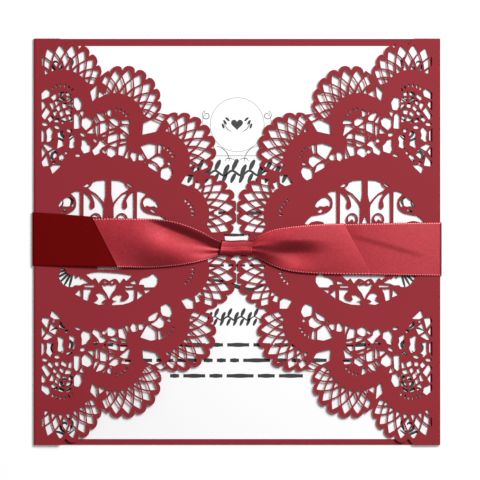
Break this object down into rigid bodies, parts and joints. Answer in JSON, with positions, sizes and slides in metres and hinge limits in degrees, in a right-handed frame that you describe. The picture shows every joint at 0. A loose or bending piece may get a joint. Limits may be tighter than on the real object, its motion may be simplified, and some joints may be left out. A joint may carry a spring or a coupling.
{
  "type": "laser-cut wedding invitation",
  "caption": "Square red gatefold wedding invitation with laser-cut lace gates, a white printed card inside and a satin ribbon tied round it.",
  "frame": {"origin": "middle of the underside, where the ribbon's back strand lies on the table", "axes": "+X across the face to the right gate's fold, +Y up the face, +Z out of the face"},
  "size_m": [0.1512, 0.15, 0.0054],
  "materials": {
    "red_card": "matte dyed card, laser cut",
    "white_card": "smooth white printed card",
    "red_satin": "single-face satin ribbon"
  },
  "bodies": {
    "root": {"gatefold_cover": "red_card", "insert_card": "white_card", "satin_ribbon": "red_satin"}
  },
  "joints": []
}
